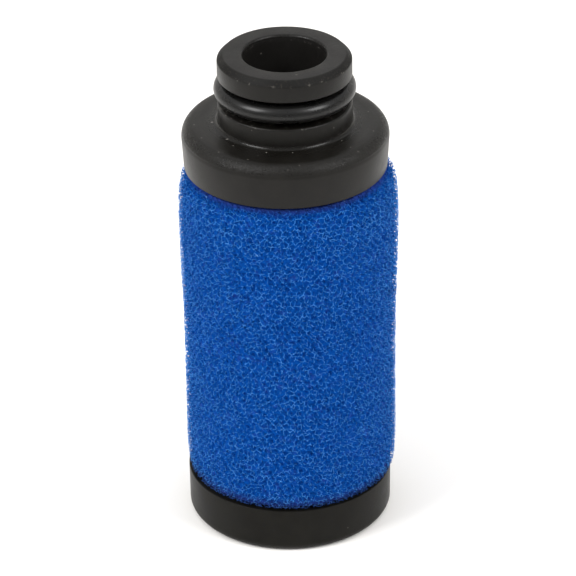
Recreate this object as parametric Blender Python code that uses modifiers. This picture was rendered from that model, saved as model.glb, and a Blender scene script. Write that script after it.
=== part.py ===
"""Compressed-air coalescing filter element: two moulded end caps, a spigot neck with an O-ring,
a blue open-cell foam drain sleeve, and the wrapped filter pack inside it.

The frame is in metres. The origin is the centre of the base, and +Z runs up the axis to the neck.
"""

import math

import bmesh
import bpy

MM = 0.001
GAP = 0.3 * MM                    # room left between pieces that touch on the real element
CAP_SEGMENTS = 40
LAYER_SEGMENTS = 32
SMOOTH_ANGLE = math.radians(35.0)
WELD_DISTANCE = 0.00001

# Heights along the axis, from the base up.
BOTTOM_CAP_HEIGHT = 7.6 * MM
EXPOSED_FOAM_LENGTH = 54.4 * MM
SKIRT_HEIGHT = 7.2 * MM
LOWER_LAND_HEIGHT = 3.6 * MM
GROOVE_WIDTH = 4.5 * MM
UPPER_LAND_HEIGHT = 2.65 * MM
CHAMFER = 0.9 * MM
SKIRT_EDGE_Z = BOTTOM_CAP_HEIGHT + EXPOSED_FOAM_LENGTH
FLANGE_Z = SKIRT_EDGE_Z + SKIRT_HEIGHT
GROOVE_Z = FLANGE_Z + LOWER_LAND_HEIGHT
GROOVE_TOP_Z = GROOVE_Z + GROOVE_WIDTH
LAND_TOP_Z = GROOVE_TOP_Z + UPPER_LAND_HEIGHT
NECK_TOP_Z = LAND_TOP_Z + CHAMFER

# Radii of the two end caps.
FLANGE_RADIUS = 16.25 * MM
SKIRT_MOUTH_RADIUS = 15.95 * MM   # the skirt draws in slightly towards its mouth
CUP_RADIUS = 16.35 * MM
CUP_MOUTH_RADIUS = 16.4 * MM      # the cup draws out slightly towards its mouth
CAP_INNER_RADIUS = 14.7 * MM
FLANGE_EDGE = 2.3 * MM
FLANGE_EDGE_START = 75.0          # degrees: the rounded edge breaks off from the flat here
BASE_EDGE = 1.4 * MM
MOUTH_EDGE = 0.2 * MM
CAP_FLOOR = 2.0 * MM
NECK_RADIUS = 10.5 * MM
NECK_FILLET = 0.7 * MM
BORE_RADIUS = 6.5 * MM
BORE_EDGE = 0.5 * MM
LOCATING_RADIUS = 7.6 * MM        # spigot and boss that centre the inner core
LOCATING_SPIGOT_LENGTH = 4.2 * MM
LOCATING_BOSS_HEIGHT = 4.0 * MM
LOCATING_EDGE = 0.3 * MM

# O-ring: 3 mm cord, in the middle of its groove.
CORD_RADIUS = 1.5 * MM
RING_OUTER_RADIUS = 11.15 * MM
RING_PATH_RADIUS = RING_OUTER_RADIUS - CORD_RADIUS
RING_Z = GROOVE_Z + 0.5 * GROOVE_WIDTH
GROOVE_RADIUS = RING_OUTER_RADIUS - 2.0 * CORD_RADIUS - GAP

# Resin that bonds the filter pack into the caps.
RESIN_DEPTH = 1.5 * MM
TOP_RESIN_Z = FLANGE_Z - CAP_FLOOR - GAP - RESIN_DEPTH
BOTTOM_RESIN_Z = CAP_FLOOR + GAP
PACK_BOTTOM_Z = BOTTOM_RESIN_Z + RESIN_DEPTH + GAP
PACK_TOP_Z = TOP_RESIN_Z - GAP

# Filter pack, from the inside out: inner and outer radius of each layer.
INNER_CORE = (8.0 * MM, 8.45 * MM)
INNER_FABRIC = (8.75 * MM, 9.1 * MM)
PREFILTER = (9.4 * MM, 9.9 * MM)
MEDIA = (10.2 * MM, 11.65 * MM)
OUTER_FABRIC = (11.95 * MM, 12.3 * MM)
OUTER_CORE = (12.7 * MM, 13.1 * MM)

# Perforated sheet of the two cores: slots and webs in columns round the tube, in rows along it.
INNER_COLUMNS = 20
OUTER_COLUMNS = 24
CORE_ROWS = 12
INNER_WEB = 0.6 * MM
OUTER_WEB = 0.8 * MM

# Foam sleeve: squeezed inside the caps, bulging just outside them.
FOAM_INNER_RADIUS = OUTER_CORE[1] + GAP
FOAM_SQUEEZED_RADIUS = CAP_INNER_RADIUS - GAP
FOAM_TOP_Z = FLANGE_Z - CAP_FLOOR - GAP
FOAM_UPPER_RADIUS = 17.4 * MM
FOAM_LOWER_RADIUS = 16.95 * MM
FOAM_TOP_PINCH = 1.6 * MM         # how much the skirt draws the foam in at its mouth
FOAM_BOTTOM_PINCH = 0.6 * MM
FOAM_RECOVERY = 1.95 * MM         # distance over which the foam springs back
FOAM_LIP = 0.5 * MM               # height of the foam's underside over a cap's edge
FOAM_END_EDGE = 0.3 * MM
FOAM_SWELL_START = 0.4            # share of the exposed length below which the foam keeps one size
FOAM_SWELL_LENGTH = 0.45

# Millimetres under the skirt at which the foam's outline has a point, closer where it curves.
FOAM_STATIONS = (0.0, 1.2, 2.8, 5.5, 9.5, 20.0, 31.0, 42.0, 48.7, 51.2, 52.6)


def clear_scene():
    for old in list(bpy.data.objects):
        bpy.data.objects.remove(old, do_unlink=True)


def make_material(name, colour, roughness, metallic=0.0):
    material = bpy.data.materials.new(name)
    material.use_nodes = True
    shader = material.node_tree.nodes["Principled BSDF"]
    shader.inputs["Base Color"].default_value = (*colour, 1.0)
    shader.inputs["Roughness"].default_value = roughness
    shader.inputs["Metallic"].default_value = metallic
    material.diffuse_color = (*colour, 1.0)
    return material


def arc(radius, z, size, start, end, steps):
    """Points on an arc of the given size about (radius, z), with angles in degrees from +X."""
    points = []
    for step in range(steps + 1):
        angle = math.radians(start + (end - start) * step / steps)
        points.append((radius + size * math.cos(angle), z + size * math.sin(angle)))
    return points


def apply_modifiers(piece, material):
    """Swap the mesh for its evaluated form, shade it smooth and give it its material."""
    bpy.context.view_layer.update()
    evaluated = piece.evaluated_get(bpy.context.evaluated_depsgraph_get())
    mesh = bpy.data.meshes.new_from_object(evaluated)
    mesh.name = piece.name
    piece.modifiers.clear()
    piece.data = mesh
    mesh.shade_smooth()
    mesh.set_sharp_from_angle(angle=SMOOTH_ANGLE)
    mesh.materials.clear()
    mesh.materials.append(material)


def turn(name, profile, material, collection, segments=CAP_SEGMENTS, closed=True):
    """Turn a profile about Z. It runs down the outer side, and closes on itself or on the axis."""
    mesh = bpy.data.meshes.new(name)
    shape = bmesh.new()
    verts = [shape.verts.new((radius, 0.0, z)) for radius, z in profile]
    for first, second in zip(verts, verts[1:]):
        shape.edges.new((first, second))
    if closed:
        shape.edges.new((verts[-1], verts[0]))
    shape.to_mesh(mesh)
    shape.free()
    piece = bpy.data.objects.new(name, mesh)
    collection.objects.link(piece)
    screw = piece.modifiers.new("Screw", "SCREW")
    screw.axis = "Z"
    screw.steps = segments
    screw.render_steps = segments
    screw.use_merge_vertices = True
    screw.merge_threshold = WELD_DISTANCE
    apply_modifiers(piece, material)
    return piece


def layer(name, radii, material, collection):
    """A plain wound layer of the filter pack, as long as the pack."""
    inner, outer = radii
    profile = [(outer, PACK_TOP_Z), (outer, PACK_BOTTOM_Z), (inner, PACK_BOTTOM_Z), (inner, PACK_TOP_Z)]
    return turn(name, profile, material, collection, LAYER_SEGMENTS)


def perforated_tube(name, radii, columns, web, material, collection):
    """A rolled steel tube with staggered slots, and a plain band of one row at each end."""
    inner, outer = radii
    mesh = bpy.data.meshes.new(name)
    sheet = bmesh.new()
    bmesh.ops.create_grid(sheet, x_segments=columns, y_segments=CORE_ROWS, size=0.5)
    height = PACK_TOP_Z - PACK_BOTTOM_Z
    slots = []
    for face in sheet.faces:
        centre = face.calc_center_median()
        column = int((centre.x + 0.5) * columns)
        row = int((centre.y + 0.5) * CORE_ROWS)
        if 0 < row < CORE_ROWS - 1 and (column + row) % 2 == 0:
            slots.append(face)
    for vert in sheet.verts:
        angle = 2.0 * math.pi * vert.co.x
        z = PACK_BOTTOM_Z + height * (vert.co.y + 0.5)
        vert.co = (outer * math.cos(angle), outer * math.sin(angle), z)
    bmesh.ops.remove_doubles(sheet, verts=sheet.verts[:], dist=WELD_DISTANCE)
    bmesh.ops.inset_individual(sheet, faces=slots, thickness=web, use_even_offset=True)
    bmesh.ops.delete(sheet, geom=slots, context="FACES")
    bmesh.ops.recalc_face_normals(sheet, faces=sheet.faces[:])
    sheet.to_mesh(mesh)
    sheet.free()
    piece = bpy.data.objects.new(name, mesh)
    collection.objects.link(piece)
    wall = piece.modifiers.new("Wall", "SOLIDIFY")
    wall.thickness = outer - inner
    wall.offset = -1.0
    apply_modifiers(piece, material)
    return piece


def top_end_cap(material, collection):
    """Neck with lead-in chamfer and O-ring groove, rounded flange, skirt and locating spigot."""
    flange_floor = FLANGE_Z - CAP_FLOOR
    spigot_end = flange_floor - LOCATING_SPIGOT_LENGTH
    profile = [
        (NECK_RADIUS - CHAMFER, NECK_TOP_Z),
        (NECK_RADIUS, LAND_TOP_Z),
        (NECK_RADIUS, GROOVE_TOP_Z),
        (GROOVE_RADIUS, GROOVE_TOP_Z),
        (GROOVE_RADIUS, GROOVE_Z),
        (NECK_RADIUS, GROOVE_Z),
    ]
    profile += arc(NECK_RADIUS + NECK_FILLET, FLANGE_Z + NECK_FILLET, NECK_FILLET, 180, 270, 3)
    edge_z = FLANGE_Z - FLANGE_EDGE * math.sin(math.radians(FLANGE_EDGE_START))
    profile += arc(FLANGE_RADIUS - FLANGE_EDGE, edge_z, FLANGE_EDGE, FLANGE_EDGE_START, 0, 5)
    profile += [
        (SKIRT_MOUTH_RADIUS, SKIRT_EDGE_Z + MOUTH_EDGE),
        (SKIRT_MOUTH_RADIUS - MOUTH_EDGE, SKIRT_EDGE_Z),
        (CAP_INNER_RADIUS, SKIRT_EDGE_Z),
        (CAP_INNER_RADIUS, flange_floor),
        (LOCATING_RADIUS, flange_floor),
        (LOCATING_RADIUS, spigot_end + LOCATING_EDGE),
        (LOCATING_RADIUS - LOCATING_EDGE, spigot_end),
        (BORE_RADIUS, spigot_end),
    ]
    profile += arc(BORE_RADIUS + BORE_EDGE, NECK_TOP_Z - BORE_EDGE, BORE_EDGE, 180, 90, 2)
    return turn("top_end_cap", profile, material, collection)


def bottom_end_cap(material, collection):
    """Blind cup with a rounded base edge and a boss that centres the inner core."""
    boss_top = CAP_FLOOR + LOCATING_BOSS_HEIGHT
    profile = [
        (0.0, boss_top),
        (LOCATING_RADIUS - LOCATING_EDGE, boss_top),
        (LOCATING_RADIUS, boss_top - LOCATING_EDGE),
        (LOCATING_RADIUS, CAP_FLOOR),
        (CAP_INNER_RADIUS, CAP_FLOOR),
        (CAP_INNER_RADIUS, BOTTOM_CAP_HEIGHT),
        (CUP_MOUTH_RADIUS - MOUTH_EDGE, BOTTOM_CAP_HEIGHT),
        (CUP_MOUTH_RADIUS, BOTTOM_CAP_HEIGHT - MOUTH_EDGE),
    ]
    profile += arc(CUP_RADIUS - BASE_EDGE, BASE_EDGE, BASE_EDGE, 0, -90, 4)
    profile += [(0.0, 0.0)]
    return turn("bottom_end_cap", profile, material, collection, closed=False)


def neck_o_ring(material, collection):
    """A round cord ring. Its section is turned from the top of the outer side downwards."""
    section = arc(RING_PATH_RADIUS, RING_Z, CORD_RADIUS, 90, -270, 10)[:-1]
    return turn("neck_o_ring", section, material, collection)


def resin_ring(name, z, outer, material, collection):
    inner = LOCATING_RADIUS + GAP
    profile = [(outer, z + RESIN_DEPTH), (outer, z), (inner, z), (inner, z + RESIN_DEPTH)]
    return turn(name, profile, material, collection, LAYER_SEGMENTS)


def foam_radius(z):
    """Outer radius of the exposed foam: free size, less the pinch of the cap it is near."""
    along = (z - BOTTOM_CAP_HEIGHT) / EXPOSED_FOAM_LENGTH
    swell = min(1.0, max(0.0, (along - FOAM_SWELL_START) / FOAM_SWELL_LENGTH))
    blend = 0.5 - 0.5 * math.cos(math.pi * swell)
    free = FOAM_LOWER_RADIUS + (FOAM_UPPER_RADIUS - FOAM_LOWER_RADIUS) * blend
    top_pinch = FOAM_TOP_PINCH * math.exp((z - SKIRT_EDGE_Z) / FOAM_RECOVERY)
    bottom_pinch = FOAM_BOTTOM_PINCH * math.exp((BOTTOM_CAP_HEIGHT - z) / FOAM_RECOVERY)
    return free - top_pinch - bottom_pinch


def foam_drain_sleeve(material, collection):
    """Open-cell sleeve over the whole pack, squeezed by the skirt above and the cup below."""
    upper_lip = SKIRT_EDGE_Z - FOAM_LIP
    lower_lip = BOTTOM_CAP_HEIGHT + FOAM_LIP
    profile = [
        (FOAM_SQUEEZED_RADIUS - FOAM_END_EDGE, FOAM_TOP_Z),
        (FOAM_SQUEEZED_RADIUS, FOAM_TOP_Z - FOAM_END_EDGE),
        (FOAM_SQUEEZED_RADIUS, SKIRT_EDGE_Z),
        (CAP_INNER_RADIUS, upper_lip),
    ]
    heights = [upper_lip - station * MM for station in FOAM_STATIONS]
    profile += [(foam_radius(z), z) for z in heights]
    profile += [
        (foam_radius(lower_lip), lower_lip),
        (CAP_INNER_RADIUS, lower_lip - FOAM_END_EDGE / 2.0),
        (FOAM_SQUEEZED_RADIUS, BOTTOM_CAP_HEIGHT),
        (FOAM_SQUEEZED_RADIUS, PACK_BOTTOM_Z + FOAM_END_EDGE),
        (FOAM_SQUEEZED_RADIUS - FOAM_END_EDGE, PACK_BOTTOM_Z),
        (FOAM_INNER_RADIUS, PACK_BOTTOM_Z),
        (FOAM_INNER_RADIUS, FOAM_TOP_Z),
    ]
    return turn("foam_drain_sleeve", profile, material, collection)


def build():
    clear_scene()
    collection = bpy.data.collections.new("filter_element")
    bpy.context.scene.collection.children.link(collection)

    nylon = make_material("black_nylon", (0.035, 0.033, 0.032), 0.42)
    nitrile = make_material("nitrile", (0.022, 0.022, 0.024), 0.34)
    foam = make_material("blue_foam", (0.010, 0.085, 0.42), 0.85)
    steel = make_material("stainless", (0.62, 0.61, 0.59), 0.32, 1.0)
    fabric = make_material("support_fabric", (0.80, 0.80, 0.78), 0.95)
    prefilter = make_material("prefilter_glass", (0.86, 0.84, 0.76), 0.95)
    microfibre = make_material("microfibre_glass", (0.93, 0.93, 0.92), 0.95)
    resin = make_material("amber_resin", (0.42, 0.26, 0.10), 0.25)

    top_end_cap(nylon, collection)
    neck_o_ring(nitrile, collection)
    bottom_end_cap(nylon, collection)
    foam_drain_sleeve(foam, collection)
    perforated_tube("inner_support_core", INNER_CORE, INNER_COLUMNS, INNER_WEB, steel, collection)
    layer("inner_support_fabric", INNER_FABRIC, fabric, collection)
    layer("prefilter_layer", PREFILTER, prefilter, collection)
    layer("microfibre_media", MEDIA, microfibre, collection)
    layer("outer_support_fabric", OUTER_FABRIC, fabric, collection)
    perforated_tube("outer_support_core", OUTER_CORE, OUTER_COLUMNS, OUTER_WEB, steel, collection)
    resin_ring("top_potting_ring", TOP_RESIN_Z, OUTER_CORE[1], resin, collection)
    resin_ring("bottom_potting_ring", BOTTOM_RESIN_Z, FOAM_SQUEEZED_RADIUS, resin, collection)


build()
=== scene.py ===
"""Looks of the compressed-air filter element: moulded caps, O-ring, open-cell foam and filter pack.

Everything is in metres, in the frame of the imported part: +Z runs up the axis to the open neck.
"""

import math

import bpy
import numpy as np
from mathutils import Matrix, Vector


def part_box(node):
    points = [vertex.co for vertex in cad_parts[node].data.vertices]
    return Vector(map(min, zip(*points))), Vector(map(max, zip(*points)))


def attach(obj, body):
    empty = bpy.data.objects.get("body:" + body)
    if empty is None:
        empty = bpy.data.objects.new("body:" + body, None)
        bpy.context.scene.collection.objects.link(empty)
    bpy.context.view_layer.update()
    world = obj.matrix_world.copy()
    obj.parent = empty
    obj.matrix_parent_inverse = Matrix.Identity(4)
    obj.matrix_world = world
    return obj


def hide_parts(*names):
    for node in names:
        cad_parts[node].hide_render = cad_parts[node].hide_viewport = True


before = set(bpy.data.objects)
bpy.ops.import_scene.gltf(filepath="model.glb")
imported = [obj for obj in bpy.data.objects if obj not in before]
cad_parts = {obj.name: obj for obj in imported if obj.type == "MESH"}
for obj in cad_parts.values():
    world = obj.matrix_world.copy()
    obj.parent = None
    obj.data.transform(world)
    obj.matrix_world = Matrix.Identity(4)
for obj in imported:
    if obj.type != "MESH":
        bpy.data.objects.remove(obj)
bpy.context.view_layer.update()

MM = 0.001
TURN = 2.0 * math.pi
TOUCHING = 1e-7                   # metres; points closer than this are one point
SEED = 20
TURN_SEGMENTS = 192               # round the caps and the O-ring

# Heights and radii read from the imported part.
TOP_LOW, TOP_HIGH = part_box("top_end_cap")
_, CUP_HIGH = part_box("bottom_end_cap")
RING_LOW, RING_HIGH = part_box("neck_o_ring")
_, OUTER_CORE_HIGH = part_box("outer_support_core")
SKIRT_EDGE_Z = TOP_LOW[2]
NECK_TOP_Z = TOP_HIGH[2]
CUP_MOUTH_Z = CUP_HIGH[2]
FLANGE_RADIUS = TOP_HIGH[0]
CUP_MOUTH_RADIUS = CUP_HIGH[0]
CORD_RADIUS = 0.5 * (RING_HIGH[2] - RING_LOW[2])

# The end caps' own sizes, as the part has them.
SKIRT_MOUTH_RADIUS = 15.95 * MM
CUP_RADIUS = 16.35 * MM
CAP_INNER_RADIUS = 14.7 * MM
CAP_FLOOR = 2.0 * MM
SPIGOT_LENGTH = 4.2 * MM          # how far the top cap's spigot reaches into the filter pack
BOSS_HEIGHT = 4.0 * MM            # how far the bottom cap's boss reaches into it
FLANGE_EDGE = 2.3 * MM
FLANGE_EDGE_START = 75.0          # the edge starts with a slight break in the flange's flat
LAND_EDGE = 0.35 * MM
BASE_EDGE = 1.4 * MM
NECK_RADIUS = 10.5 * MM
NECK_FILLET = 0.7 * MM
FLANGE_RISE = 0.10 * MM           # the flange sweeps up this much towards the neck
FLANGE_FLAT_RADIUS = 13.3 * MM
BORE_RADIUS = 6.5 * MM
BORE_EDGE = 0.5 * MM
LOCATING_RADIUS = 7.6 * MM
CHAMFER = 0.9 * MM
LAND_TOP_Z = NECK_TOP_Z - CHAMFER
GROOVE_TOP_Z = LAND_TOP_Z - 2.65 * MM
GROOVE_Z = GROOVE_TOP_Z - 4.5 * MM
FLANGE_Z = GROOVE_Z - 3.6 * MM
GROOVE_RADIUS = 7.85 * MM
GATE_DIMPLE = 0.25 * MM           # depth of the moulding gate's dimple under the base
TOP_EDGE = 0.18 * MM              # rounding of the top cap's other edges
CUP_EDGE = 0.15 * MM              # and of the bottom cap's
PARTING_LINE = 0.02 * MM          # how far the O-ring's parting line stands out


# ---------------------------------------------------------------- camera and light


def add_camera():
    """A long lens that looks down on the element at the photograph's angle."""
    distance = 620.9 * MM
    elevation = math.radians(29.75)
    aim_elevation = math.radians(29.13)
    roll = math.radians(-0.78)
    pan = math.radians(-0.0084)
    aim_height = 31.66 * MM
    data = bpy.data.cameras.new("camera")
    data.sensor_width = 36.0
    data.lens = 242.1
    data.clip_start = 0.05
    data.clip_end = 10.0
    camera = bpy.data.objects.new("camera", data)
    bpy.context.scene.collection.objects.link(camera)
    camera.location = (0.0, -distance * math.cos(elevation), aim_height + distance * math.sin(elevation))
    camera.rotation_mode = "XYZ"
    camera.rotation_euler = (math.radians(90.0) - aim_elevation, 0.0, pan)
    camera.rotation_euler.rotate_axis("Z", roll)
    bpy.context.scene.camera = camera


def add_area_light(name, azimuth, elevation, distance, size, energy):
    """A soft box at an azimuth from the front, positive to the right, facing the element's upper part."""
    target = Vector((0.0, 0.0, 0.06))
    turn, tilt = math.radians(azimuth), math.radians(elevation)
    offset = Vector((math.sin(turn) * math.cos(tilt), -math.cos(turn) * math.cos(tilt), math.sin(tilt)))
    data = bpy.data.lights.new(name, "AREA")
    data.shape = "RECTANGLE"
    data.size, data.size_y = size
    data.energy = energy
    light = bpy.data.objects.new(name, data)
    bpy.context.scene.collection.objects.link(light)
    light.location = target + offset * distance
    light.rotation_euler = (-offset).to_track_quat("-Z", "Y").to_euler()
    light.visible_camera = False


def add_studio():
    """Soft boxes at the front left, front right and overhead, in an even white room."""
    add_area_light("left_box", -60.0, 42.0, 0.72, (0.30, 0.30), 3.4)
    add_area_light("right_box", 60.0, 42.0, 0.72, (0.30, 0.30), 2.5)
    add_area_light("top_box", 180.0, 75.0, 0.85, (0.8, 0.8), 1.2)
    world = bpy.data.worlds.new("studio")
    world.use_nodes = True
    background = world.node_tree.nodes["Background"]
    background.inputs["Color"].default_value = (1.0, 1.0, 1.0, 1.0)
    background.inputs["Strength"].default_value = 0.835
    bpy.context.scene.world = world
    bpy.context.scene.view_settings.view_transform = "Standard"


# ---------------------------------------------------------------- node helpers


class Nodes:
    """Small helper that builds a Principled material's node tree."""

    def __init__(self, name):
        self.material = bpy.data.materials.new(name)
        self.material.use_nodes = True
        self.tree = self.material.node_tree
        self.shader = self.tree.nodes["Principled BSDF"]

    def set(self, **values):
        """Constants on the shader's own sockets, with an underscore for each space in a name."""
        for key, value in values.items():
            self.shader.inputs[key.replace("_", " ")].default_value = value

    def add(self, kind, inputs=(), **settings):
        """A new node with these settings, and with a socket or a constant on each input."""
        node = self.tree.nodes.new(kind)
        for key, value in settings.items():
            setattr(node, key, value)
        for key, value in dict(inputs).items():
            if isinstance(value, bpy.types.NodeSocket):
                self.tree.links.new(value, node.inputs[key])
            else:
                node.inputs[key].default_value = value
        return node

    def link(self, output, key):
        """Join an output to one of the shader's sockets."""
        self.tree.links.new(output, self.shader.inputs[key])

    def position(self):
        return self.add("ShaderNodeTexCoord").outputs["Object"]

    def noise(self, scale, detail=4.0, roughness=0.5, vector=None):
        vector = vector or self.position()
        inputs = {"Vector": vector, "Scale": scale, "Detail": detail, "Roughness": roughness}
        return self.add("ShaderNodeTexNoise", inputs).outputs["Fac"]

    def ramp(self, value, stops):
        """Colour ramp over (position, colour) stops."""
        node = self.add("ShaderNodeValToRGB", {"Fac": value})
        elements = node.color_ramp.elements
        while len(elements) < len(stops):
            elements.new(0.5)
        for element, (position, colour) in zip(elements, stops):
            element.position = position
            element.color = (*colour, 1.0)
        return node.outputs["Color"]

    def remap(self, value, from_low, from_high, to_low, to_high):
        inputs = {"Value": value, "From Min": from_low, "From Max": from_high,
                  "To Min": to_low, "To Max": to_high}
        return self.add("ShaderNodeMapRange", inputs).outputs["Result"]

    def mix(self, factor, first, second):
        """Mix two colours; a Mix node keeps its colour sockets at inputs 6 and 7 and output 2."""
        return self.add("ShaderNodeMix", {0: factor, 6: first, 7: second}, data_type="RGBA").outputs[2]

    def height(self):
        return self.add("ShaderNodeSeparateXYZ", {"Vector": self.position()}).outputs["Z"]

    def radius(self):
        """Distance from the element's axis."""
        flat = self.stretched((1.0, 1.0, 0.0))
        return self.add("ShaderNodeVectorMath", {0: flat}, operation="LENGTH").outputs["Value"]

    def cells(self, scale, stretch):
        """Outputs of a Voronoi node: each cell's colour, and the distance from its middle."""
        inputs = {"Vector": self.stretched(stretch), "Scale": scale}
        return self.add("ShaderNodeTexVoronoi", inputs).outputs

    def attribute(self, name):
        return self.add("ShaderNodeAttribute", attribute_name=name).outputs["Fac"]

    def stretched(self, scale):
        return self.add("ShaderNodeMapping", {"Vector": self.position(), "Scale": scale}).outputs["Vector"]

    def times(self, first, second):
        return self.add("ShaderNodeMath", {0: first, 1: second}, operation="MULTIPLY").outputs[0]

    def plus(self, first, second):
        return self.add("ShaderNodeMath", {0: first, 1: second}, operation="ADD").outputs[0]

    def band(self, value, centre, half, blur):
        """1 within half of the centre, falling to 0 over blur."""
        offset = self.add("ShaderNodeMath", {0: value, 1: centre}, operation="SUBTRACT").outputs[0]
        away = self.add("ShaderNodeMath", {0: offset}, operation="ABSOLUTE").outputs[0]
        return self.remap(away, half + blur, half, 0.0, 1.0)

    def bump(self, height, strength, distance):
        node = self.add("ShaderNodeBump", {"Height": height, "Strength": strength, "Distance": distance})
        self.link(node.outputs["Normal"], "Normal")


# ---------------------------------------------------------------- materials


def nylon_material(name, pale, dark, gloss):
    """Black glass-filled nylon: satin grain, cloudy gloss, a rough chamfer painted dark as painted shade, a
    top and bore painted paler as painted light, pale nicks and dust.
    """
    nodes = Nodes(name)
    nodes.set(IOR=1.5, Specular_IOR_Level=gloss)
    height, radius = nodes.height(), nodes.radius()
    grain = nodes.noise(5200.0, 3.0, 0.6)
    cloud = nodes.noise(240.0, 3.0, 0.55)
    speckle = nodes.noise(3000.0, 3.0, 0.7)
    chamfer = nodes.band(height, LAND_TOP_Z + 0.5 * CHAMFER, 0.46 * CHAMFER, 0.06 * MM)
    worn = nodes.times(chamfer, nodes.remap(speckle, 0.55, 0.75, 0.0, 1.0))
    shoulder = nodes.band(height, FLANGE_Z - 0.85 * MM, 0.60 * MM, 0.20 * MM)

    base = nodes.ramp(cloud, [(0.35, dark), (0.65, pale)])
    base = wear_and_painted_light_colour(nodes, base, height, radius, chamfer, worn)
    dusty = (0.34, 0.32, 0.29, 1.0)
    nodes.link(nodes.mix(dust_amount(nodes, height), base, dusty), "Base Color")

    # Handling has polished the fillet over the flange and the lip of the bore, and the
    # rounded edge of the flange is grainy.
    satin = nodes.plus(nodes.remap(cloud, 0.3, 0.7, 0.33, 0.44), nodes.times(chamfer, 0.22))
    fillet = nodes.band(height, FLANGE_Z + 0.35 * MM, 0.25 * MM, 0.12 * MM)
    satin = nodes.plus(satin, nodes.times(fillet, -0.20))
    near_bore = nodes.remap(radius, BORE_RADIUS + 0.8 * MM, BORE_RADIUS + 0.6 * MM, 0.0, 1.0)
    lip = nodes.times(nodes.band(height, NECK_TOP_Z - 0.3 * MM, 0.22 * MM, 0.08 * MM), near_bore)
    satin = nodes.plus(satin, nodes.times(lip, -0.31))
    grainy = nodes.times(shoulder, nodes.remap(speckle, 0.38, 0.62, -0.13, 0.15))
    nodes.link(nodes.plus(satin, grainy), "Roughness")
    relief = nodes.plus(nodes.times(grain, 0.3), nodes.times(speckle, 0.35))
    relief = nodes.plus(relief, nodes.times(nodes.times(speckle, shoulder), 1.6))
    relief = nodes.plus(relief, nodes.times(worn, 0.3))
    nodes.bump(relief, 0.7, 0.07 * MM)
    return nodes.material


def wear_and_painted_light_colour(nodes, base, height, radius, chamfer, worn):
    """The nylon's colour at the neck: painted shade on its chamfer, painted light on its top and bore, and
    wear specks and nicks on its edges.
    """
    # The lead-in chamfer is painted near-black, as painted shade for the dark it reflects, and is a rougher
    # band with brown wear specks.
    base = nodes.mix(nodes.times(chamfer, 0.95), base, (0.0010, 0.0008, 0.0004, 1.0))
    base = nodes.mix(worn, base, (0.030, 0.024, 0.018, 1.0))

    # The top of the neck and the bore's wall are painted paler: painted light for what the top reflects and
    # for the little light that reaches down the bore.
    painted_light_top = nodes.band(height, NECK_TOP_Z, 0.04 * MM, 0.06 * MM)
    base = nodes.mix(painted_light_top, base, (0.0125, 0.0118, 0.0110, 1.0))
    inside = nodes.remap(radius, BORE_RADIUS + 0.30 * MM, BORE_RADIUS + 0.05 * MM, 0.0, 1.0)
    base = nodes.mix(inside, base, (0.0100, 0.0093, 0.0085, 1.0))

    # Handling has left pale nicks along the edges of the neck.
    edges = nodes.band(height, LAND_TOP_Z, 0.10 * MM, 0.10 * MM)
    edges = nodes.plus(edges, nodes.band(height, GROOVE_Z - 0.1 * MM, 0.08 * MM, 0.12 * MM))
    nicks = nodes.remap(nodes.noise(1300.0, 4.0, 0.7), 0.58, 0.66, 0.0, 0.5)
    return nodes.mix(nodes.times(edges, nicks), base, (0.16, 0.15, 0.135, 1.0))


def dust_amount(nodes, height):
    """Where dust lies: specks and finer grit round the foot of the neck, and a few specks elsewhere."""
    foot = nodes.band(height, FLANGE_Z + 1.2 * MM, 1.5 * MM, 0.5 * MM)
    specks = nodes.cells(520.0, (0.55, 1.0, 0.8))
    rare = nodes.remap(specks["Color"], 0.74, 0.80, 0.0, 1.0)
    common = nodes.times(foot, nodes.remap(specks["Color"], 0.50, 0.56, 0.0, 1.0))
    dust = nodes.remap(specks["Distance"], 0.075, 0.045, 0.0, 1.0)
    dust = nodes.times(dust, nodes.plus(nodes.times(rare, 0.25), nodes.times(common, 0.6)))
    fine = nodes.cells(1100.0, (0.8, 1.0, 0.6))
    grit = nodes.times(foot, nodes.remap(fine["Color"], 0.60, 0.66, 0.0, 1.0))
    grit = nodes.times(nodes.remap(fine["Distance"], 0.12, 0.06, 0.0, 0.7), grit)
    return nodes.plus(dust, grit)


def rubber_material():
    """Nitrile rubber with a thin, uneven film of grease."""
    nodes = Nodes("nitrile_rubber")
    nodes.set(IOR=1.52, Specular_IOR_Level=0.30)
    film = nodes.noise(400.0, 3.0, 0.5)
    grain = nodes.noise(7000.0, 2.0, 0.5)
    colour = nodes.ramp(film, [(0.3, (0.0040, 0.0040, 0.0040)), (0.7, (0.0060, 0.0058, 0.0055))])
    nodes.link(colour, "Base Color")
    nodes.link(nodes.remap(film, 0.3, 0.7, 0.25, 0.33), "Roughness")
    nodes.bump(grain, 0.12, 0.01 * MM)
    return nodes.material


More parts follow.
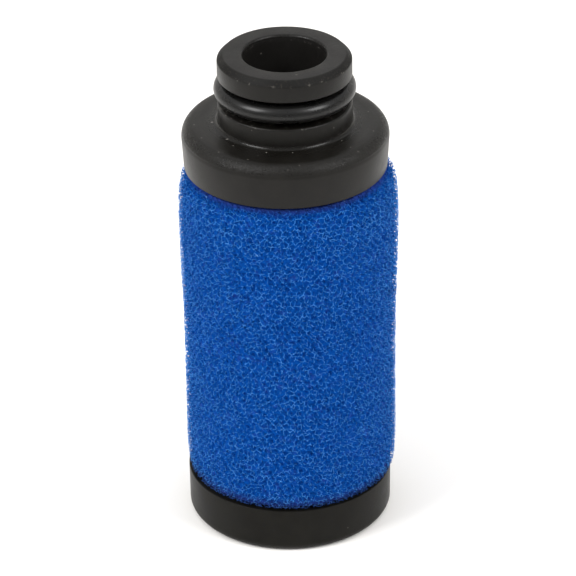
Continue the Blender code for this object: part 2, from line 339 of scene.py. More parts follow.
def foam_material():
    """Blue polyurethane foam, paler at its outer struts and darker in its cells as painted shade, with
    violet patches and a few painted glints.
    """
    nodes = Nodes("blue_foam")
    nodes.set(IOR=1.45, Roughness=0.55, Specular_IOR_Level=0.04)
    # The colour darkens with depth under the skin: painted shade in the foam's depths.
    blue = nodes.ramp(nodes.attribute("painted_shade_depth"), [
        (0.00, (0.070, 0.285, 0.73)),
        (0.28, (0.010, 0.138, 0.50)),
        (0.50, (0.0006, 0.072, 0.36)),
        (0.72, (0.0001, 0.034, 0.225)),
    ])
    patches = nodes.noise(700.0, 3.0, 0.6)
    blue = nodes.mix(nodes.remap(patches, 0.55, 0.78, 0.0, 0.30), blue, (0.050, 0.075, 0.46, 1.0))

    # Under the skirt and just above the cup's mouth the foam is painted darker and more violet: painted
    # shadow of the caps.
    height = nodes.height()
    under_skirt = nodes.remap(height, SKIRT_EDGE_Z - 1.4 * MM, SKIRT_EDGE_Z - 0.2 * MM, 0.0, 0.6)
    shadow_at_mouth = nodes.remap(height, CUP_MOUTH_Z + 2.2 * MM, CUP_MOUTH_Z + 0.7 * MM, 0.0, 0.8)
    blue = nodes.mix(under_skirt, blue, (0.040, 0.052, 0.230, 1.0))
    blue = nodes.mix(shadow_at_mouth, blue, (0.022, 0.030, 0.150, 1.0))
    # The glints are painted highlights: a pale colour at a few random corners.
    nodes.link(nodes.mix(nodes.attribute("glint"), blue, (0.26, 0.52, 0.88, 1.0)), "Base Color")
    return nodes.material


def fibre_material(name, pale, dark, scale, stretch):
    """Matted fibres: stretched noise in the colour and the surface."""
    nodes = Nodes(name)
    nodes.set(Roughness=0.9, Sheen_Weight=0.2)
    fibres = nodes.noise(scale, 6.0, 0.7, nodes.stretched(stretch))
    nodes.link(nodes.ramp(fibres, [(0.35, dark), (0.65, pale)]), "Base Color")
    nodes.bump(fibres, 0.6, 0.05 * MM)
    return nodes.material


def steel_material():
    """Stainless sheet with fine lines along the tube."""
    nodes = Nodes("stainless")
    nodes.set(Metallic=1.0)
    lines = nodes.noise(2500.0, 5.0, 0.65, nodes.stretched((1.0, 1.0, 0.08)))
    nodes.link(nodes.ramp(lines, [(0.3, (0.42, 0.41, 0.39)), (0.7, (0.60, 0.59, 0.57))]), "Base Color")
    nodes.link(nodes.remap(lines, 0.3, 0.7, 0.25, 0.42), "Roughness")
    return nodes.material


def resin_material():
    """Cloudy amber resin with a gently uneven face."""
    nodes = Nodes("amber_resin")
    nodes.set(IOR=1.55, Roughness=0.22)
    cloud = nodes.noise(300.0, 4.0, 0.6)
    nodes.link(nodes.ramp(cloud, [(0.3, (0.30, 0.17, 0.05)), (0.7, (0.46, 0.29, 0.11))]), "Base Color")
    nodes.bump(cloud, 0.2, 0.05 * MM)
    return nodes.material


def floor_material():
    """Matt, faintly warm white paper, greyer away from the back as painted shade."""
    nodes = Nodes("studio_floor")
    nodes.set(Roughness=0.9, Specular_IOR_Level=0.2)
    cloud = nodes.noise(6.0, 2.0, 0.5)
    white = nodes.ramp(cloud, [(0.3, (0.945, 0.930, 0.905)), (0.7, (0.965, 0.950, 0.925))])
    back_wall = (0.0, 1.2, 0.4)
    away = nodes.add("ShaderNodeVectorMath", {0: nodes.position(), 1: back_wall}, operation="DISTANCE")
    # Painted shade: the paper turns grey far from the back wall, so that the front and sides of the room
    # are dimmer.
    far = nodes.remap(away.outputs["Value"], 1.5, 2.2, 0.0, 1.0)
    nodes.link(nodes.mix(far, white, (0.60, 0.60, 0.60, 1.0)), "Base Color")
    return nodes.material


# ---------------------------------------------------------------- mesh helpers


def new_object(name, verts, faces, material, sharp_angle=None):
    """A smooth-shaded mesh object, with sharp edges where it turns more than sharp_angle degrees."""
    mesh = bpy.data.meshes.new(name)
    mesh.from_pydata([tuple(v) for v in verts], [], faces)
    mesh.validate()
    mesh.shade_smooth()
    if sharp_angle:
        mesh.set_sharp_from_angle(angle=math.radians(sharp_angle))
    mesh.materials.append(material)
    piece = bpy.data.objects.new(name, mesh)
    bpy.context.scene.collection.objects.link(piece)
    return piece


def arc(radius, z, size, start, end, steps):
    """Points of an arc about (radius, z), from one angle to another in degrees."""
    angles = [math.radians(start + (end - start) * i / steps) for i in range(steps + 1)]
    return [(radius + size * math.cos(a), z + size * math.sin(a)) for a in angles]


def is_smooth(back, ahead, size):
    """True where an outline's two sides at a point leave no corner to round, as along an arc."""
    shortest = min(back.length, ahead.length)
    if shortest < TOUCHING:
        return True
    straight_enough = 150 if shortest < 2.2 * size else 155
    return back.angle(ahead) > math.radians(straight_enough)


def soften(outline, size, closed=True):
    """Round each sharp corner of an outline with a small arc-like curve."""
    steps = 3
    result = []
    count = len(outline)
    for i, point in enumerate(outline):
        here = Vector(point)
        back, ahead = Vector(outline[i - 1]) - here, Vector(outline[(i + 1) % count]) - here
        at_end = not closed and i in (0, count - 1)
        if at_end or is_smooth(back, ahead, size):
            result.append(point)
            continue
        reach = min(size, 0.45 * back.length, 0.45 * ahead.length)
        first = here + back.normalized() * reach
        last = here + ahead.normalized() * reach
        for step in range(steps + 1):
            t = step / steps
            curve = first * (1 - t) ** 2 + here * 2 * t * (1 - t) + last * t ** 2
            result.append(tuple(curve))
    return result


def lathe(name, profile, material, closed=True, segments=TURN_SEGMENTS, sharp_angle=40):
    """Turn a profile that runs down its outer side. An open profile isn't joined end to start."""
    rings = []
    verts = []
    for radius, z in profile:
        if radius < TOUCHING:
            rings.append([len(verts)] * segments)
            verts.append((0.0, 0.0, z))
            continue
        rings.append(list(range(len(verts), len(verts) + segments)))
        for step in range(segments):
            angle = TURN * step / segments
            verts.append((radius * math.cos(angle), radius * math.sin(angle), z))
    pairs = list(zip(rings, rings[1:]))
    if closed:
        pairs.append((rings[-1], rings[0]))
    faces = []
    for upper, lower in pairs:
        for step in range(segments):
            after = (step + 1) % segments
            corners = [upper[step], lower[step], lower[after], upper[after]]
            face = list(dict.fromkeys(corners))
            if len(face) > 2:
                faces.append(face)
    return new_object(name, verts, faces, material, sharp_angle)


# ---------------------------------------------------------------- end caps and O-ring


def flange_height(radius):
    """Height of the flange's top: flat outside, sweeping up towards the neck."""
    reach = FLANGE_FLAT_RADIUS - NECK_RADIUS - NECK_FILLET
    return FLANGE_Z + FLANGE_RISE * (max(0.0, FLANGE_FLAT_RADIUS - radius) / reach) ** 2


def neck_root():
    """The small fillet at the foot of the neck, and the sweep from it to the flat of the flange."""
    reach = FLANGE_FLAT_RADIUS - NECK_RADIUS - NECK_FILLET

    # The fillet meets the sweep at the sweep's own slope there, which a few rounds settle.
    slope = 0.0
    for _ in range(4):
        contact = NECK_RADIUS + NECK_FILLET * (1.0 - math.sin(slope))
        slope = math.atan(2.0 * FLANGE_RISE * (FLANGE_FLAT_RADIUS - contact) / reach ** 2)
    centre_z = flange_height(contact) + NECK_FILLET * math.cos(slope)
    points = arc(NECK_RADIUS + NECK_FILLET, centre_z, NECK_FILLET, 180, 270 - math.degrees(slope), 12)
    radii = np.linspace(contact, FLANGE_FLAT_RADIUS, 12)[1:]
    return points + [(radius, flange_height(radius)) for radius in radii]


def top_cap(material):
    """Neck with its groove, flange and skirt, with the small edge radii that a mould gives."""
    floor = FLANGE_Z - CAP_FLOOR
    spigot_end = floor - SPIGOT_LENGTH
    outline = [
        (NECK_RADIUS - CHAMFER, NECK_TOP_Z),
        (NECK_RADIUS, LAND_TOP_Z),
        (NECK_RADIUS, GROOVE_TOP_Z),
        (GROOVE_RADIUS, GROOVE_TOP_Z),
        (GROOVE_RADIUS, GROOVE_Z),
    ]
    outline += arc(NECK_RADIUS - LAND_EDGE, GROOVE_Z - LAND_EDGE, LAND_EDGE, 90, 0, 8)
    outline += neck_root()
    edge_z = FLANGE_Z - FLANGE_EDGE * math.sin(math.radians(FLANGE_EDGE_START))
    outline += arc(FLANGE_RADIUS - FLANGE_EDGE, edge_z, FLANGE_EDGE, FLANGE_EDGE_START, 0, 14)
    outline += [
        (SKIRT_MOUTH_RADIUS, SKIRT_EDGE_Z),
        (CAP_INNER_RADIUS, SKIRT_EDGE_Z),
        (CAP_INNER_RADIUS, floor),
        (LOCATING_RADIUS, floor),
        (LOCATING_RADIUS, spigot_end),
        (BORE_RADIUS, spigot_end),
    ]
    outline += arc(BORE_RADIUS + BORE_EDGE, NECK_TOP_Z - BORE_EDGE, BORE_EDGE, 180, 90, 6)
    piece = lathe("moulded_top_cap", soften(outline, TOP_EDGE), material)
    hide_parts("top_end_cap")
    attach(piece, "root")


def bottom_cap(material):
    """Blind cup with a rounded base edge, and a shallow gate dimple under it."""
    boss_top = CAP_FLOOR + BOSS_HEIGHT
    outline = [
        (0.0, boss_top),
        (LOCATING_RADIUS, boss_top),
        (LOCATING_RADIUS, CAP_FLOOR),
        (CAP_INNER_RADIUS, CAP_FLOOR),
        (CAP_INNER_RADIUS, CUP_MOUTH_Z),
        (CUP_MOUTH_RADIUS, CUP_MOUTH_Z),
    ]
    outline += arc(CUP_RADIUS - BASE_EDGE, BASE_EDGE, BASE_EDGE, 0, -90, 12)
    outline += [(1.6 * MM, 0.0), (1.2 * MM, GATE_DIMPLE), (0.0, GATE_DIMPLE)]
    profile = soften(outline, CUP_EDGE, closed=False)
    piece = lathe("moulded_bottom_cap", profile, material, closed=False)
    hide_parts("bottom_end_cap")
    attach(piece, "root")


def o_ring(material):
    """A round cord with the thin parting line that moulding leaves round its outer side."""
    path = RING_HIGH[0] - CORD_RADIUS
    height = 0.5 * (RING_HIGH[2] + RING_LOW[2])
    steps = 48
    outermost = steps // 4
    section = arc(path, height, CORD_RADIUS, 90, -270, steps)[:-1]
    radius, z = section[outermost]
    section[outermost] = (radius + PARTING_LINE, z)
    piece = lathe("neck_seal_ring", section, material, sharp_angle=60)
    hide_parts("neck_o_ring")
    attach(piece, "root")


# ---------------------------------------------------------------- foam sleeve

FOAM_UPPER_RADIUS = 17.4 * MM
FOAM_LOWER_RADIUS = 16.95 * MM
FOAM_SWELL_FROM = 0.4              # the foam swells from one radius to the other from this share
FOAM_SWELL_OVER = 0.45             # of its height up, over this share of it
FOAM_SQUEEZED_RADIUS = 14.4 * MM
FOAM_INNER_RADIUS = OUTER_CORE_HIGH[0] + 0.35 * MM
FOAM_TOP_PINCH = 1.6 * MM
FOAM_TUCK = 1.1 * MM               # the foam's first strip is drawn in further, under the skirt
FOAM_TUCK_SHADE_DEPTH = 1.3 * MM         # and is painted as shaded as foam this much deeper: painted shadow of the skirt
FOAM_TUCK_LENGTH = 0.6 * MM
FOAM_BOTTOM_PINCH = 0.6 * MM
FOAM_RECOVERY = 1.95 * MM          # how far from a cap the pinch dies away
FOAM_HIDDEN = 1.6 * MM             # how far the foam reaches into each cap
FOAM_EASE = 2.2 * MM               # how far from a cap the foam's cells are at full depth
FOAM_LEAN = 0.33 * MM
FOAM_CELL = 1.20 * MM
FOAM_STRUT_DEPTH = 0.94 * MM
OUTER_LAYER = 0.47                 # share of the strut depth that is in the outer pieces
STRUT_SIZE = 0.050 * MM
STUB_TAPER = 0.85
SHORTEST_STUB = 0.25               # a cut strut with less of its length left is dropped
LAYER_TILT = 31.7                  # degrees; far from a simple ratio, so that the cells fall in no rows
LAYER_WANDER = 0.60                # how far the layers of cells wander in depth, in cells
LAYER_WANDER_WAVE = 9.0            # and over how many cells
BODY_RIDGE_DEPTH = 0.71 * MM       # how far under the skin the solid body's ridges lie
BODY_PIT_DEPTH = 0.36 * MM         # and how much deeper the pits between them are
BODY_RIDGE_WIDTH = 0.30 * MM
BODY_COARSE_CELL = 1.15 * MM
BODY_FINE_CELL = 0.92 * MM
DEEPEST_SHADE_DEPTH = 1.5 * MM           # the depth at which the foam's painted shade stops deepening
GLINT_DEPTH = 0.3 * MM
GLINT_SHARE = 0.002                # share of the strut corners down to that depth that get a painted glint


def foam_radius(z):
    """Outer radius of the exposed foam at height z."""
    along = (z - CUP_MOUTH_Z) / (SKIRT_EDGE_Z - CUP_MOUTH_Z)
    swell = min(1.0, max(0.0, (along - FOAM_SWELL_FROM) / FOAM_SWELL_OVER))
    blend = 0.5 - 0.5 * math.cos(math.pi * swell)
    free = FOAM_LOWER_RADIUS + (FOAM_UPPER_RADIUS - FOAM_LOWER_RADIUS) * blend
    top_pinch = FOAM_TOP_PINCH * math.exp((z - SKIRT_EDGE_Z) / FOAM_RECOVERY)
    top_pinch += FOAM_TUCK * math.exp((z - SKIRT_EDGE_Z) / FOAM_TUCK_LENGTH)
    bottom_pinch = FOAM_BOTTOM_PINCH * math.exp((CUP_MOUTH_Z - z) / FOAM_RECOVERY)
    return free - top_pinch - bottom_pinch


def skin_outline():
    """Points down the foam's outer side, from inside the skirt to inside the cup."""
    under_skirt = [
        (FOAM_SQUEEZED_RADIUS, SKIRT_EDGE_Z + FOAM_HIDDEN),
        (FOAM_SQUEEZED_RADIUS, SKIRT_EDGE_Z + 0.15 * MM),
        (FOAM_SQUEEZED_RADIUS + 0.35 * MM, SKIRT_EDGE_Z - 0.2 * MM),
        (SKIRT_MOUTH_RADIUS - 0.35 * MM, SKIRT_EDGE_Z - 0.25 * MM),
    ]
    in_cup = [
        (CUP_MOUTH_RADIUS - 0.6 * MM, CUP_MOUTH_Z + 0.25 * MM),
        (FOAM_SQUEEZED_RADIUS + 0.3 * MM, CUP_MOUTH_Z + 0.1 * MM),
        (FOAM_SQUEEZED_RADIUS, CUP_MOUTH_Z - 0.25 * MM),
        (FOAM_SQUEEZED_RADIUS, CUP_MOUTH_Z - FOAM_HIDDEN),
    ]
    top, bottom = SKIRT_EDGE_Z - 0.6 * MM, CUP_MOUTH_Z + 0.5 * MM
    heights = np.concatenate([
        np.linspace(top, top - 6.0 * MM, 16),
        np.linspace(top - 7.0 * MM, bottom + 6.0 * MM, 40),
        np.linspace(bottom + 5.0 * MM, bottom, 12),
    ])
    return np.array(under_skirt + [(foam_radius(z), z) for z in heights] + in_cup)


def smoothed(values):
    """A moving average that leaves the ends alone."""
    width, ends = 15, 20
    result = values.copy()
    result[ends:-ends] = np.convolve(values, np.ones(width) / width, "same")[ends:-ends]
    return result


class FoamSkin:
    """The sleeve's outer skin, unrolled: u runs round it and v runs down it."""

    SAMPLES = 1200

    def __init__(self):
        points = skin_outline()
        steps = np.hypot(*np.diff(points, axis=0).T)
        travelled = np.concatenate([[0.0], np.cumsum(steps)])
        self.length = travelled[-1]
        self.fine = np.linspace(0.0, self.length, self.SAMPLES)
        self.radius = smoothed(np.interp(self.fine, travelled, points[:, 0]))
        self.height = smoothed(np.interp(self.fine, travelled, points[:, 1]))
        slope_r, slope_z = np.gradient(self.radius), np.gradient(self.height)
        size = np.hypot(slope_r, slope_z)
        self.normal_r, self.normal_z = -slope_z / size, slope_r / size
        self.round = TURN * FOAM_LOWER_RADIUS

    def place(self, u, v, depth):
        """World points for skin coordinates u, v at a depth under the skin."""
        radius = np.interp(v, self.fine, self.radius)
        height = np.interp(v, self.fine, self.height)
        normal_r = np.interp(v, self.fine, self.normal_r)
        normal_z = np.interp(v, self.fine, self.normal_z)
        free = self.freedom(v)
        angle = TURN * u / self.round
        depth = depth * (0.25 + 0.75 * free)      # a cap squeezes the cells flat
        radius = radius - depth * normal_r
        x = radius * np.cos(angle) + FOAM_LEAN * free
        y = radius * np.sin(angle)
        return np.stack([x, y, height - depth * normal_z], axis=1)

    def freedom(self, v):
        """0 where a cap squeezes the foam, 1 where it stands free."""
        edge = FOAM_HIDDEN + 0.6 * MM
        away = np.minimum(v - edge, self.length - edge - v)
        share = np.clip(away / FOAM_EASE, 0.0, 1.0)
        return share * share * (3.0 - 2.0 * share)


class StrutLattice:
    """A slab of open-cell foam along the skin: Kelvin cells, tilted, warped and jittered.

    Every junction joins four struts. It is a small tetrahedron whose corners lie opposite the
    struts, so that each strut runs from one of its faces, as the struts of real foam do.
    """

    CELL_STEPS = 4                 # lattice steps across a cell
    JOINS = 4                      # struts that meet at a junction
    EDGES = [
        (x, y, z) for x in (-1, 0, 1) for y in (-1, 0, 1) for z in (-1, 0, 1)
        if abs(x) + abs(y) + abs(z) == 2
    ]

    def __init__(self, skin, cell, thickness, seed):
        self.rng = np.random.default_rng(seed)
        self.skin = skin
        self.around = self.CELL_STEPS * int(round(skin.round / cell))
        self.step = skin.round / self.around
        self.find_junctions(thickness + 1.2 * cell, cell)
        self.find_neighbours()
        self.shape_junctions(cell)

    def find_junctions(self, reach, cell):
        """Integer lattice points of the junctions near the slab, and their places in it."""
        tilt = math.radians(LAYER_TILT)
        margin = 1.2 * self.CELL_STEPS                      # lattice steps kept all round the slab
        spare = 2.5 * LAYER_WANDER * self.CELL_STEPS        # and tried above and below it
        long = self.skin.length / self.step + 2.0 * margin
        deep = reach / self.step + margin
        y_steps = np.arange(int(-2 * deep), int(long + 2 * deep))
        z_steps = np.arange(int(-long), int(2 * deep))
        y, z = (grid.ravel() for grid in np.meshgrid(y_steps, z_steps))
        v = y * math.cos(tilt) - z * math.sin(tilt) - margin
        w = y * math.sin(tilt) + z * math.cos(tilt) - margin
        near = (v > -margin) & (v < long - margin) & (w > -margin - spare) & (w < deep + spare)
        y, z, v, w = y[near], z[near], v[near], w[near]
        x = np.repeat(np.arange(self.around), len(y))
        y, z, v, w = (np.tile(values, self.around) for values in (y, z, v, w))

        # A Kelvin cell's junctions are the points with a 0, a half cell and an odd step.
        rest = np.stack([x, y, z]) % self.CELL_STEPS
        half = self.CELL_STEPS // 2
        real = (rest == 0).any(axis=0) & (rest == half).any(axis=0) & (rest % 2 == 1).any(axis=0)

        # The grid has a spare row at each end, so that every neighbour has a place in it.
        grid = np.stack([x, y - y_steps[0] + 1, z - z_steps[0] + 1])[:, real]
        self.extent = (self.around, len(y_steps) + 2, len(z_steps) + 2)
        self.u, self.v, self.w = x[real] * self.step, v[real] * self.step, w[real] * self.step

        # The layers of cells wander in depth, which keeps the skin from cutting them in rows.
        self.w = self.w + self.drift(LAYER_WANDER * cell, LAYER_WANDER_WAVE * cell, across_only=True)
        kept = (self.w > -margin * self.step) & (self.w < deep * self.step)
        self.grid = grid[:, kept]
        self.u, self.v, self.w = self.u[kept], self.v[kept], self.w[kept]

    def find_neighbours(self):
        """The four junctions that each junction is joined to, or -1 outside the slab."""
        index = np.full(self.extent, -1, dtype=np.int32)
        index[tuple(self.grid)] = np.arange(len(self.u))
        found = []
        for edge in self.EDGES:
            x, y, z = self.grid + np.array(edge)[:, None]
            found.append(index[x % self.around, y, z])
        self.joined = -np.sort(-np.stack(found, axis=1), axis=1)[:, :self.JOINS]
        self.whole = (self.joined >= 0).all(axis=1)

    def drift(self, amplitude, wave, across_only=False):
        """A smooth wandering field, seamless round the sleeve; with across_only, the same at all depths."""
        waves = 14
        total = np.zeros(len(self.u))
        for _ in range(waves):
            turns = self.rng.integers(-1, 2) * round(self.skin.round / wave * self.rng.uniform(0.5, 1.0))
            along, inward = self.rng.uniform(-TURN, TURN, 2) / wave
            inward = 0.0 if across_only else inward
            phase = self.rng.uniform(0.0, TURN)
            angle = TURN * turns * self.u / self.skin.round
            total += np.cos(angle + along * self.v + inward * self.w + phase)
        return total * amplitude / math.sqrt(0.5 * waves)

    def shape_junctions(self, cell):
        """Move the junctions off their lattice, and set out each one's four corners."""
        count = len(self.u)
        moves = [self.drift(0.10 * cell, 2.1 * cell) for _ in range(3)]
        shakes = (0.08 * cell, 0.08 * cell, 0.11 * cell)
        moves = [move + self.rng.normal(0.0, shake, count) for move, shake in zip(moves, shakes)]
        self.u, self.v, self.w = self.u + moves[0], self.v + moves[1], self.w + moves[2]
        self.place = self.skin.place(self.u, self.v, self.w)
        reach = self.place[self.joined] - self.place[:, None, :]
        self.way = reach / np.maximum(np.linalg.norm(reach, axis=2), TOUCHING)[:, :, None]
        deeper = np.clip(self.w / FOAM_STRUT_DEPTH, 0.0, 1.0)
        size = STRUT_SIZE * self.rng.uniform(0.75, 1.20, count) * (1.0 + 0.35 * deeper)
        self.corner = self.place[:, None, :] - self.way * size[:, None, None]

    def ring(self, junction, slot, axis):
        """The three corners round a strut's end, in order about its axis, with their angles."""
        others = np.array([[1, 2, 3], [0, 2, 3], [0, 1, 3], [0, 1, 2]])[slot]
        offset = self.corner[junction[:, None], others] - self.place[junction][:, None, :]
        askew = np.roll(axis, 1, axis=1) + np.array([0.31, 0.17, 0.53])      # never along the strut
        side = np.cross(axis, askew)
        side /= np.linalg.norm(side, axis=1)[:, None]
        up = np.cross(axis, side)
        angle = np.arctan2((offset * up[:, None, :]).sum(axis=2), (offset * side[:, None, :]).sum(axis=2))
        order = np.argsort(angle, axis=1)
        ids = self.JOINS * junction[:, None] + np.take_along_axis(others, order, axis=1)
        return ids, np.take_along_axis(angle, order, axis=1)


def strut_groups(lattice, groups):
    """The struts of each named group: groups split at a depth, and half way down the sleeve."""
    first, slot = np.nonzero(lattice.whole[:, None] & (lattice.joined >= 0))
    second = lattice.joined[first, slot]
    other_slot = np.argmax(lattice.joined[second] == first[:, None], axis=1)
    ends = (first, slot, second, other_slot)
    depth_a, depth_b = lattice.w[first], lattice.w[second]
    inside = (lattice.v[first] > 0.0) & (lattice.v[first] < lattice.skin.length)
    inside &= lattice.whole[second] & (depth_a > 0.0)
    full = inside & (depth_b > 0.0) & (first < second)
    cut = inside & (depth_b < 0.0) & (depth_a > SHORTEST_STUB * (depth_a - depth_b))
    middle = 0.5 * (depth_a + np.maximum(depth_b, 0.0))
    upper = lattice.v[first] + lattice.v[second] < lattice.skin.length
    for name, is_upper, low, high in groups:
        here = (middle >= low) & (middle < high) & (upper == is_upper)
        yield name, strut_mesh(lattice, ends, full & here, cut & here)


def strut_walls(near, far):
    """The three four-sided walls of each strut, between the three corners at its two ends."""
    pairs = ((0, 1), (1, 2), (2, 0))
    return [np.stack([near[:, s], near[:, t], far[:, t], far[:, s]], axis=1) for s, t in pairs]


def strut_mesh(lattice, ends, full, cut):
    """Corner points, their depths and the closed faces of the chosen struts."""
    first, slot, second, other_slot = ends
    axis = lattice.place[second] - lattice.place[first]
    axis /= np.maximum(np.linalg.norm(axis, axis=1), TOUCHING)[:, None]
    points = lattice.corner.reshape(-1, 3)
    depths = np.repeat(lattice.w, lattice.JOINS)

    # The far end's corners are numbered so that the walls twist as little as they can.
    near, near_angle = lattice.ring(first[full], slot[full], axis[full])
    far, far_angle = lattice.ring(second[full], other_slot[full], axis[full])
    twists = [np.cos(near_angle - np.roll(far_angle, -shift, axis=1)).sum(axis=1) for shift in range(3)]
    shift = np.argmax(np.stack(twists, axis=1), axis=1)
    far = np.take_along_axis(far, (np.arange(3) + shift[:, None]) % 3, axis=1)
    walls = strut_walls(near, far)

    # A strut that leaves the foam is sliced off at the skin, and its cut end is closed.
    stub, _ = lattice.ring(first[cut], slot[cut], axis[cut])
    share = lattice.w[first[cut]] / (lattice.w[first[cut]] - lattice.w[second[cut]])
    reach = lattice.place[second[cut]] - lattice.place[first[cut]]
    centre = lattice.place[first[cut]] + reach * share[:, None]
    offset = points[stub] - lattice.place[first[cut]][:, None, :]
    offset -= (offset * axis[cut][:, None, :]).sum(axis=2)[:, :, None] * axis[cut][:, None, :]
    tips = (centre[:, None, :] + STUB_TAPER * offset).reshape(-1, 3)
    tip = len(points) + np.arange(len(tips)).reshape(-1, 3)
    walls += strut_walls(stub, tip)
    points = np.concatenate([points, tips])
    depths = np.concatenate([depths, np.zeros(len(tips))])

    # Junction faces that no strut of this layer runs from are closed with a triangle.
    used = np.zeros((len(lattice.u), lattice.JOINS), dtype=bool)
    used[first[full | cut], slot[full | cut]] = True
    used[second[full], other_slot[full]] = True
    junction, free = np.nonzero(used.any(axis=1)[:, None] & ~used)
    lids, _ = lattice.ring(junction, free, lattice.way[junction, free])

    quads = np.concatenate(walls)
    triangles = np.concatenate([tip, lids])
    kept, packed = np.unique(np.concatenate([quads.ravel(), triangles.ravel()]), return_inverse=True)
    faces = packed[:quads.size].reshape(-1, 4).tolist() + packed[quads.size:].reshape(-1, 3).tolist()
    return points[kept], depths[kept], faces


def foam_struts(skin, material):
    """The visible struts: an outer and an inner layer, each in an upper and a lower half."""
    lattice = StrutLattice(skin, FOAM_CELL, FOAM_STRUT_DEPTH, SEED)
    layer_limit = OUTER_LAYER * FOAM_STRUT_DEPTH
    groups = [
        ("foam_outer_struts_upper", True, 0.0, layer_limit),
        ("foam_outer_struts_lower", False, 0.0, layer_limit),
        ("foam_inner_struts_upper", True, layer_limit, FOAM_STRUT_DEPTH),
        ("foam_inner_struts_lower", False, layer_limit, FOAM_STRUT_DEPTH),
    ]
    rng = np.random.default_rng(SEED + 50)
    for name, (points, depths, faces) in strut_groups(lattice, groups):
        piece = new_object(name, points, faces, material)
        # A few random corners near the skin get a painted glint, a pale colour standing in for a highlight.
        glint = (rng.random(len(points)) < GLINT_SHARE) * rng.uniform(0.6, 1.0, len(points))
        finish_foam(piece, depths, glint * (depths < GLINT_DEPTH))


def cell_borders(u, v, pitch, period, rng):
    """Distance from each point to the border between its two nearest jittered seeds."""
    around = int(round(period / pitch))
    pitch_u = period / around
    pitch_v = pitch_u * math.sqrt(3.0) / 2.0
    spare = 2                              # rows of seeds before v is 0
    rows = int(v.max() / pitch_v) + 3 * spare
    jitter = rng.uniform(-0.45, 0.45, (2, rows, around))
    column, row = np.meshgrid(np.arange(around), np.arange(rows))
    seed_u = (column + 0.5 * (row % 2) + jitter[0]) * pitch_u
    seed_v = (row - spare + jitter[1]) * pitch_v
    home_row = np.round(v / pitch_v).astype(int) + spare
    home_column = np.round(u / pitch_u).astype(int)
    nearest = np.full(u.shape, np.inf)
    second = np.full(u.shape, np.inf)
    for down in range(-2, 3):
        for across in range(-2, 3):
            near_row = np.clip(home_row + down, 0, rows - 1)
            near_column = (home_column + across) % around
            gap_u = (seed_u[near_row, near_column] - u + 0.5 * period) % period - 0.5 * period
            away = np.hypot(gap_u, seed_v[near_row, near_column] - v)
            second = np.minimum(second, np.maximum(away, nearest))
            nearest = np.minimum(nearest, away)
    return 0.5 * (second - nearest)


def foam_body(skin, material):
    """The foam behind the outer struts: a closed sleeve with a ridged, pitted outer side."""
    columns, rows = 392, 208
    rng = np.random.default_rng(SEED + 6)
    u_line = np.arange(columns) * skin.round / columns
    v_line = np.linspace(0.0, skin.length, rows)
    u, v = (grid.ravel() for grid in np.meshgrid(u_line, v_line))
    coarse = cell_borders(u, v, BODY_COARSE_CELL, skin.round, rng)
    fine = cell_borders(u, v, BODY_FINE_CELL, skin.round, rng) + 0.08 * MM
    pit = np.clip(np.minimum(coarse, fine) / BODY_RIDGE_WIDTH, 0.0, 1.0)
    depth = BODY_RIDGE_DEPTH + pit * BODY_PIT_DEPTH
    outer = skin.place(u, v, depth)
    angle = TURN * u_line / skin.round
    x, y = FOAM_INNER_RADIUS * np.cos(angle), FOAM_INNER_RADIUS * np.sin(angle)
    ends = [np.stack([x, y, np.full(columns, z)], axis=1) for z in (outer[-1, 2], outer[0, 2])]
    verts = np.concatenate([outer] + ends)
    ring_start = np.arange(rows + 2) * columns
    here = np.arange(columns)
    after = (here + 1) % columns
    faces = []
    for upper, lower in zip(ring_start, np.roll(ring_start, -1)):
        faces += np.stack([upper + here, lower + here, lower + after, upper + after], axis=1).tolist()
    piece = new_object("foam_sleeve_body", verts, faces, material)
    # The body's end rings get the deepest painted shade.
    finish_foam(piece, np.append(depth, np.full(2 * columns, DEEPEST_SHADE_DEPTH)), np.zeros(len(verts)))


def write_attribute(piece, name, values):
    """Store one number for each point, for the material to read."""
    attribute = piece.data.attributes.new(name, "FLOAT", "POINT")
    attribute.data.foreach_set("value", np.asarray(values, dtype=np.float32))


def face_values(piece, name, width):
    """One value or vector for each face of a piece."""
    values = np.empty(len(piece.data.polygons) * width)
    piece.data.polygons.foreach_get(name, values)
    return values.reshape(-1, width)


def add_bake_layout(piece):
    """Unroll the faces round the sleeve's axis, with the faces that look inwards in a lower strip."""
    mesh = piece.data
    corners = np.empty(len(mesh.loops), np.int32)
    mesh.loops.foreach_get("vertex_index", corners)
    places = np.empty(3 * len(mesh.vertices))
    mesh.vertices.foreach_get("co", places)
    places = places.reshape(-1, 3)[corners]
    centres = face_values(piece, "center", 3)
    normals = face_values(piece, "normal", 3)
    face = np.repeat(np.arange(len(centres)), face_values(piece, "loop_total", 1)[:, 0].astype(int))
    face_turn = np.arctan2(centres[:, 1], centres[:, 0])[face]
    turn = np.arctan2(places[:, 1], places[:, 0]) - face_turn
    turn = face_turn + (turn + math.pi) % TURN - math.pi
    low, high = places[:, 2].min(), places[:, 2].max()
    up = (places[:, 2] - low) / (high - low)
    inward = (normals[:, :2] * centres[:, :2]).sum(axis=1)[face] < 0.0
    layout = np.empty((len(corners), 2))

    # The turn and the two strips of height each keep a small margin from the layout's edges.
    layout[:, 0] = 0.5 + 0.48 * turn / math.pi
    layout[:, 1] = np.where(inward, 0.02 + 0.30 * up, 0.36 + 0.62 * up)
    mesh.uv_layers.new(name="OFBake").data.foreach_set("uv", layout.ravel())


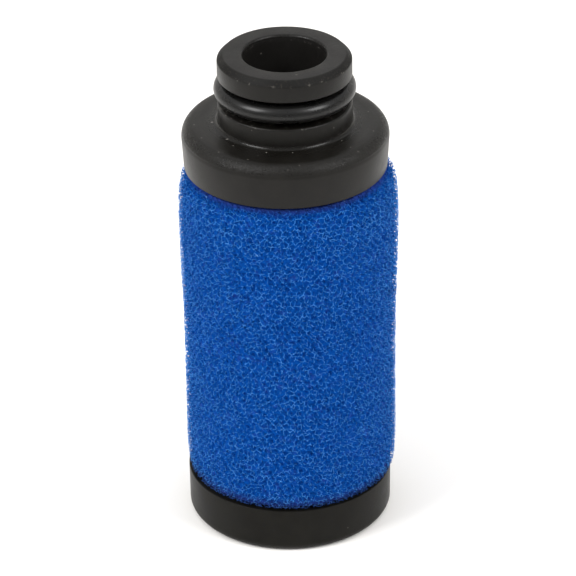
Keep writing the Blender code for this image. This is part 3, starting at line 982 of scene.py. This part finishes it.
def finish_foam(piece, depth, glint):
    heights = np.array([vertex.co.z for vertex in piece.data.vertices])
    # Painted shadow: the strip tucked under the skirt is shaded as if it lay deeper.
    tuck_shade = FOAM_TUCK_SHADE_DEPTH * np.exp(np.minimum(0.0, heights - SKIRT_EDGE_Z) / FOAM_TUCK_LENGTH)
    write_attribute(piece, "painted_shade_depth", np.clip((depth + tuck_shade) / DEEPEST_SHADE_DEPTH, 0.0, 1.0))
    write_attribute(piece, "glint", glint)
    add_bake_layout(piece)
    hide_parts("foam_drain_sleeve")
    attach(piece, "root")


def foam_sleeve(material):
    """The whole sleeve: four pieces of struts over a solid body."""
    skin = FoamSkin()
    foam_struts(skin, material)
    foam_body(skin, material)


# ---------------------------------------------------------------- filter pack


def finish_node(node, material):
    """Give a CAD piece its detailed material."""
    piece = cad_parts[node]
    for slot in piece.material_slots:
        slot.material = material


def filter_pack():
    """Materials for the wound filter, which keeps the CAD's shapes: only its core shows, down the bore."""
    even, woven = (1.0, 1.0, 1.0), (1.0, 1.0, 0.4)
    fabric = fibre_material("support_fabric", (0.80, 0.80, 0.77), (0.52, 0.52, 0.50), 1800.0, woven)
    prefilter = fibre_material("prefilter_glass", (0.84, 0.82, 0.72), (0.60, 0.57, 0.48), 1200.0, even)
    glass = fibre_material("microfibre_glass", (0.93, 0.93, 0.92), (0.74, 0.74, 0.74), 2600.0, even)
    steel = steel_material()
    resin = resin_material()
    materials = {
        "inner_support_core": steel,
        "outer_support_core": steel,
        "inner_support_fabric": fabric,
        "outer_support_fabric": fabric,
        "prefilter_layer": prefilter,
        "microfibre_media": glass,
        "top_potting_ring": resin,
        "bottom_potting_ring": resin,
    }
    for node, material in materials.items():
        finish_node(node, material)


# ---------------------------------------------------------------- floor


def add_floor():
    """White paper that lies flat and sweeps up to a low wall all round."""
    flat, sweep, wall = 1.0, 0.45, 0.75
    profile = [(flat + sweep, wall)]
    profile += arc(flat, sweep, sweep, 0, -90, 16)
    profile += [(0.0, 0.0)]
    floor = lathe("studio_floor", profile, floor_material(), closed=False, segments=96)


add_camera()
add_studio()
add_floor()
top_cap(nylon_material("black_nylon", (0.0078, 0.0070, 0.0058), (0.0050, 0.0045, 0.0036), 0.20))
# The base gets a shaded copy of the nylon: much less gloss, so that it reflects less, as painted shade for
# the dim floor beside it; its colour is a little paler and warmer.
bottom_cap(nylon_material("black_nylon_shaded_base", (0.0085, 0.0080, 0.0062), (0.0058, 0.0053, 0.0040), 0.107))
o_ring(rubber_material())
foam_sleeve(foam_material())
filter_pack()
